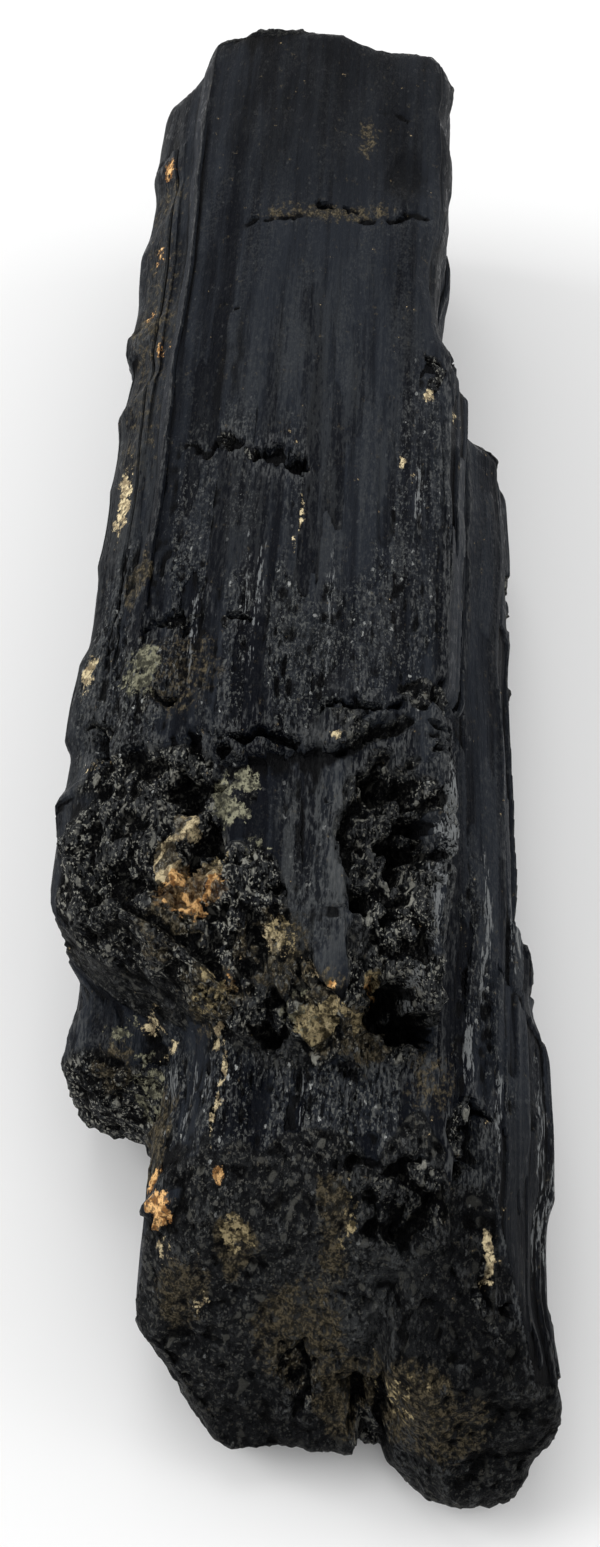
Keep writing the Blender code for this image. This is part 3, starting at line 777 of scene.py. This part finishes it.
# Linear colours of the stone. Where there are two, they are the darker and the lighter tone, and for the
# grains those of fine and of coarse ground.
BANDS = (0.0010, 0.0017, 0.0038), (0.0125, 0.0152, 0.0205)
FROST, SLOTS, FIBRE_ENDS = (0.042, 0.045, 0.047), (0.0010, 0.0011, 0.0014), (0.115, 0.119, 0.112)
DARK_GRAINS = (0.0048, 0.0052, 0.0060), (0.0004, 0.0005, 0.0009)
LIGHT_GRAINS = (0.0165, 0.0176, 0.0190), (0.0225, 0.0245, 0.0275)
# The pale flecks are partly painted glints, and the bright dots are painted glints.
FLECKS_AND_GLINTS, PAINTED_GLINTS = (0.350, 0.345, 0.300), (0.400, 0.410, 0.395)
# The grey is partly painted sheen, and the near-black partly painted shade in pits, the undercut and a dent.
GREY_PATCHES_AND_SHEEN, DARKER_PATCHES_AND_SHADE = (0.062, 0.066, 0.068), (0.0012, 0.0014, 0.0020)
# The pale edges are partly wear and partly a painted highlight; the darkest colour is painted shade in the
# pits.
EDGE_WEAR_AND_HIGHLIGHT, STRANDS, PAINTED_PIT_SHADE = (0.070, 0.073, 0.074), (0.170, 0.178, 0.180), (0.0006, 0.0006, 0.0008)
DUST = (0.025, 0.021, 0.013), (0.102, 0.083, 0.051)
CRUSTS = {                  # in the order that they lie on each other
    "ochre": ((0.060, 0.048, 0.026), (0.420, 0.340, 0.190)),
    "pale": ((0.055, 0.054, 0.040), (0.245, 0.238, 0.165)),
    "orange": ((0.24, 0.115, 0.040), (0.85, 0.51, 0.215)),
    "cream": ((0.26, 0.205, 0.125), (0.72, 0.60, 0.37)),
}
VEINED = ("orange", "cream")
STONE_BUMP = 0.5 * MM


class Value:
    """A number socket for Python arithmetic: each operation adds one Math node."""

    def __init__(self, tree, socket):
        self.tree, self.socket = tree, socket

    def math(self, operation, other, flipped=False):
        """One Math node on this value and another, or on the other and this value when flipped."""
        made = self.tree.nodes.new("ShaderNodeMath")
        made.operation = operation
        for slot, item in zip(made.inputs, (other, self) if flipped else (self, other)):
            plug(self.tree, slot, item)
        return Value(self.tree, made.outputs[0])

    def __add__(self, other):
        return self.math("ADD", other)

    def __sub__(self, other):
        return self.math("SUBTRACT", other)

    def __rsub__(self, other):
        return self.math("SUBTRACT", other, flipped=True)

    def __mul__(self, other):
        return self.math("MULTIPLY", other)

    __radd__ = __add__
    __rmul__ = __mul__

    def most(self, other):
        return self.math("MAXIMUM", other)


def plug(tree, slot, item):
    """Links a socket, or sets the slot to a number, colour or vector."""
    if isinstance(item, Value):
        tree.links.new(item.socket, slot)
    elif isinstance(item, bpy.types.NodeSocket):
        tree.links.new(item, slot)
    elif slot.type == "RGBA" and len(item) == 3:
        slot.default_value = (*item, 1)
    else:
        slot.default_value = item


class Paint:
    """A material under construction."""

    def __init__(self, name):
        self.material = bpy.data.materials.new(name)
        self.material.use_nodes = True
        self.tree = self.material.node_tree
        self.shader = self.tree.nodes["Principled BSDF"]
        self.place = self.node("TexCoord").outputs["Object"]

    def node(self, kind, settings=None, **sockets):
        """Adds one node: its settings first, then its sockets by name, or by number as _0, _1 and so on."""
        made = self.tree.nodes.new("ShaderNode" + kind)
        for key, value in (settings or {}).items():
            setattr(made, key, value)
        for key, item in sockets.items():
            slot = made.inputs[int(key[1:])] if key[1:].isdigit() else made.inputs[key.replace("_", " ")]
            plug(self.tree, slot, item)
        return made

    def mask(self, name):
        """A field that the mesh carries."""
        return Value(self.tree, self.node("Attribute", {"attribute_name": name}).outputs["Fac"])

    def stretched(self, size, shift):
        """Object coordinates counted in cells of a size in millimetres, and shifted."""
        scale = tuple(1 / (MM * edge) for edge in size)
        moved = self.node("Mapping", Vector=self.place, Scale=scale, Location=(shift, shift, shift))
        return moved.outputs["Vector"]

    def cloud(self, size, shift, detail, rough=0.55, kind="FBM"):
        """Layered noise from 0 to 1, with lumps of a size in millimetres."""
        made = self.node("TexNoise", {"noise_type": kind}, Vector=self.stretched(size, shift), Scale=1.0,
                         Detail=detail, Roughness=rough)
        return Value(self.tree, made.outputs["Fac"])

    def chips(self, size, shift):
        """Angular grains of a size: how far from each grain's middle, and the grain's own number."""
        made = self.node("TexVoronoi", Vector=self.stretched(size, shift), Scale=1.0)
        own = self.node("SeparateColor", Color=made.outputs["Color"])
        return Value(self.tree, made.outputs["Distance"]), Value(self.tree, own.outputs[0])

    def rise(self, value, low, high):
        """0 below low, 1 above high, an S curve between."""
        made = self.node("MapRange", {"interpolation_type": "SMOOTHSTEP"}, Value=value, From_Min=low,
                         From_Max=high)
        return Value(self.tree, made.outputs[0])

    def blend(self, amount, first, second):
        """The first colour where the amount is 0, the second where it is 1."""
        made = self.node("Mix", {"data_type": "RGBA"}, _0=amount, _6=first, _7=second)
        return made.outputs[2]

    def finish(self, colour, roughness, bump=None, **constants):
        """Plugs in what varies, a bump as (height, distance), and sets the constants on the shader itself."""
        plug(self.tree, self.shader.inputs["Base Color"], colour)
        plug(self.tree, self.shader.inputs["Roughness"], roughness)
        for key, value in constants.items():
            self.shader.inputs[key.replace("_", " ")].default_value = value
        if bump is not None:
            height, distance = bump
            made = self.node("Bump", Height=height, Distance=distance, Strength=1.0)
            self.tree.links.new(made.outputs["Normal"], self.shader.inputs["Normal"])
        return self.material


class BlackTourmaline(Paint):
    """Near-black stone. Where it grew it is streaked and banded along its ribs, in dark and frosted plates;
    where it frayed or broke it is granular with pale flecks, partly painted glints. Pits are darkened with
    painted shade, and edges are palest, partly from wear and partly as a painted highlight. Dust and crusts
    lie on top, with borders broken by noise."""

    def __init__(self):
        super().__init__(SLOT)
        self.bands = self.cloud((3.0, 60, 3.0), 3, detail=2)
        self.streaks = self.cloud((0.7, 26, 0.7), 7, detail=4, rough=0.65)
        self.hairs = self.cloud((0.16, 3.0, 0.16), 11, detail=2)
        self.dashes = self.cloud((0.24, 1.1, 0.24), 13, detail=3, rough=0.65)
        self.mottle = self.cloud((2.6, 13, 2.6), 17, detail=4)
        self.grit = self.cloud((0.45, 0.7, 0.45), 23, detail=4, rough=0.72)
        self.fine = self.cloud((0.2, 0.3, 0.2), 31, detail=2)
        self.lace = self.cloud((0.8, 1.3, 0.8), 37, detail=4, rough=0.6, kind="RIDGED_MULTIFRACTAL")
        self.specks = self.fine * 0.5 + self.grit * 0.5
        self.grain = self.chips((0.45, 0.75, 0.45), 29)[1]
        self.plate, self.raised = self.mask("plate"), self.mask("raised")
        self.frayed = self.mask("frayed") * self.rise(self.plate * 0.35 + self.mottle, 0.52, 0.66)
        self.broken = self.rise(self.mask("broken") + self.grit * 0.3, 0.35, 0.85)
        self.coarse = self.rise(self.mask("coarse"), 0.4, 0.9)

    def grown_face(self):
        """Bands and streaks along the ribs, frosted in patches, with dark slots and pale ends of fibres."""
        tone = self.rise(self.bands * 0.52 + self.streaks * 0.32 + self.plate * 0.16, 0.41, 0.59)
        colour = self.blend(tone, *BANDS)
        patches = self.rise(self.mottle * 0.7 + self.plate * 0.3, 0.47, 0.58)
        frost = patches * self.rise(self.specks, 0.46, 0.56) * (0.35 + 0.65 * self.frayed.most(self.broken))
        colour = self.blend(frost * 0.7, colour, FROST)
        slots = self.frayed * self.rise(self.grit * 0.5 + self.dashes * 0.5, 0.50, 0.44)
        colour = self.blend(slots * 0.85, colour, SLOTS)
        worn = (0.05 + 0.95 * self.frayed) * self.rise(self.dashes * 0.5 + self.fine * 0.5, 0.53, 0.59)
        return self.blend(worn * 0.8, colour, FIBRE_ENDS)

    def broken_ground(self):
        """Dark and lighter grains, with pale flecks, partly painted glints, and a pale lace between them
        where they are coarse.
        """
        shade = self.rise(self.grit * 0.55 + self.dashes * 0.2 + self.grain * 0.1, 0.37, 0.50)
        dark, light = self.blend(self.coarse, *DARK_GRAINS), self.blend(self.coarse, *LIGHT_GRAINS)
        # pale flecks, partly painted glints
        flecks = self.rise(self.specks, 0.54, 0.58).most(self.rise(self.lace, 0.18, 0.36))
        return self.blend(flecks * (0.15 + 0.75 * self.coarse), self.blend(shade, dark, light), FLECKS_AND_GLINTS)

    def with_painted_glints(self, colour):
        """Painted glints: sparse bright dots at the middles of some grains, mostly where the stone frayed or
        broke.
        """
        dot, chance = self.chips((0.8, 1.3, 0.8), 53)
        # painted glints: sparse bright dots
        painted_glint_dots = self.rise(dot + self.fine * 0.7, 0.53, 0.43) * self.rise(chance, 0.22, 0.85)
        where = 0.06 + 0.90 * self.frayed.most(self.broken * (0.3 + 0.7 * self.coarse))
        return self.blend(painted_glint_dots * where, colour, PAINTED_GLINTS)

    def patched_and_shaded(self, colour):
        """Grey patches, partly painted sheen, and darker patches, partly painted shade; then pale edges,
        partly worn and partly a painted highlight, loose fibres, and painted shade that darkens the pits.
        """
        patchy = self.dashes * 0.35 + self.streaks * 0.35 + self.mottle * 0.3
        # grey patches, partly painted sheen
        grey_and_sheen = self.mask("grey") * (0.05 + 0.95 * self.rise(patchy, 0.46, 0.54))
        colour = self.blend(grey_and_sheen * 0.85, colour, GREY_PATCHES_AND_SHEEN)
        # darker patches, partly painted shade in pits, the undercut and a dent
        colour = self.blend(self.mask("black") * 0.8, colour, DARKER_PATCHES_AND_SHADE)
        # pale raised edges: partly wear, partly a painted highlight
        edges = self.rise(self.raised, 0.60, 0.92) * self.rise(self.dashes, 0.45, 0.60)
        colour = self.blend(edges * 0.6, colour, EDGE_WEAR_AND_HIGHLIGHT)
        fibre = self.mask("fibre")
        strands = self.rise(fibre * 0.2 + self.hairs * 0.5 + self.dashes * 0.5, 0.62, 0.69)
        colour = self.blend(strands * self.rise(fibre, 0.0, 0.3) * 0.85, colour, STRANDS)
        # painted shade: near black where the stone lies lower than the ground near it
        return self.blend(self.rise(self.raised, 0.42, 0.15) * 0.9, colour, PAINTED_PIT_SHADE)

    def crusted(self, colour):
        """Brown dust outside the pits, then the crusts, and how much crust there is. On coarse ground the
        orange and cream crusts keep to veins: a narrow range of slow noise."""
        border = self.cloud((0.9, 1.1, 0.9), 43, detail=5, rough=0.75)
        clumps = border * 0.5 + self.grit * 0.5
        dust = self.rise(self.mask("dust") + clumps * 3, 1.7, 2.2) * self.rise(self.raised, 0.10, 0.40)
        dust = dust * (0.35 + 0.65 * self.rise(clumps, 0.44, 0.55))
        colour = self.blend(dust * 0.9, colour, self.blend(self.rise(self.specks, 0.46, 0.58), *DUST))
        bend = self.cloud((2.4, 3.2, 2.4), 61, detail=2) - 0.5
        gaps = 0.85 * self.coarse * self.rise(bend * bend, 0.0012, 0.0040)
        whole = 0.3 + 0.7 * self.rise(self.specks, 0.43, 0.48)
        shades = self.rise(self.cloud((0.55, 0.6, 0.55), 47, detail=3), 0.40, 0.60)
        crusts = 0.0
        for kind, tones in CRUSTS.items():
            crust = self.rise(self.mask(kind) + border * 2.2 + self.grit * 0.8, 1.96, 2.12) * whole
            if kind in VEINED:
                crust = crust * (1 - gaps)
            colour = self.blend(crust, colour, self.blend(shades, *tones))
            crusts = crust + crusts
        return colour, crusts

    def relief(self):
        """Streaks, hairs and fibres on grown faces, grit and lace on broken ground."""
        along = self.dashes * (0.25 + self.frayed * 0.9)
        grown = self.streaks * 0.35 + self.hairs * 0.2 + self.bands * 0.3 + along
        broken = self.grit * 1.8 + self.lace * 0.6 + self.grain * 0.4
        return (1 - self.broken) * grown + self.broken * broken

    def finished(self):
        """The stone, its painted glints, its grey and darker patches with painted sheen and shade, and its
        crusts.
        Crusts are rougher, and a few grains glossier.
        """
        colour = self.blend(self.broken, self.grown_face(), self.broken_ground())
        colour, crusts = self.crusted(self.patched_and_shaded(self.with_painted_glints(colour)))
        roughness = 0.40 + self.streaks * 0.2 + crusts * 0.4 - self.rise(self.grain, 0.80, 0.90) * 0.22
        return self.finish(colour, roughness, (self.relief(), STONE_BUMP), IOR=1.64, Specular_IOR_Level=0.03)


def pale_floor():
    return Paint("pale_floor").finish((0.82, 0.82, 0.82), 0.9)


# ---------------- surroundings

CAMERA_AT = np.array([3.7, -104.7, 145.5])
LOOKING_DOWN, TURNED_LEFT = 55.2, 3         # degrees
SENSOR = 36
FOCAL_ROWS, FRAME_ROWS = 1800, 1547         # the focal length, counted in rows of the frame
DAYLIGHT = 0.80


def floor():
    bpy.ops.mesh.primitive_plane_add(size=4.0, location=(0, 0, 0))
    sheet = bpy.context.object
    sheet.name = "floor"
    sheet.data.materials.append(pale_floor())


def lamp(name, size, power, place, aim=(0, 0, 0.015)):
    """A rectangular light at a place, turned to its aim: the middle of the log."""
    light = bpy.data.lights.new(name, "AREA")
    light.shape = "RECTANGLE"
    light.size, light.size_y = size
    light.energy = power
    holder = bpy.data.objects.new(name, light)
    bpy.context.scene.collection.objects.link(holder)
    holder.location = place
    holder.rotation_euler = (Vector(aim) - Vector(place)).to_track_quat("-Z", "Y").to_euler()


def camera():
    view = bpy.data.cameras.new("camera")
    view.sensor_width = SENSOR
    view.lens = FOCAL_ROWS / FRAME_ROWS * SENSOR
    view.clip_start = 0.01
    holder = bpy.data.objects.new("camera", view)
    bpy.context.scene.collection.objects.link(holder)
    holder.location = (CAMERA_AT - ORIGIN) * MM
    holder.rotation_euler = (math.radians(90 - LOOKING_DOWN), 0, math.radians(TURNED_LEFT))
    bpy.context.scene.camera = holder


def surroundings():
    world = bpy.data.worlds.new("studio")
    world.use_nodes = True
    back = world.node_tree.nodes["Background"]
    back.inputs["Color"].default_value = (1, 1, 1, 1)
    back.inputs["Strength"].default_value = DAYLIGHT
    bpy.context.scene.world = world
    lamp("left", size=(0.5, 0.7), power=5, place=(-0.85, 0.05, 0.6))
    lamp("right", size=(0.5, 0.7), power=2, place=(0.85, 0.15, 0.55))
    lamp("above", size=(0.5, 0.5), power=2, place=(-0.1, 0.5, 0.9))
    bpy.context.scene.view_settings.view_transform = "Standard"


piece = tourmaline_log()
piece.data.materials.clear()
piece.data.materials.append(BlackTourmaline().finished())
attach(piece, "root")
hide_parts(LOG)
floor()
surroundings()
camera()
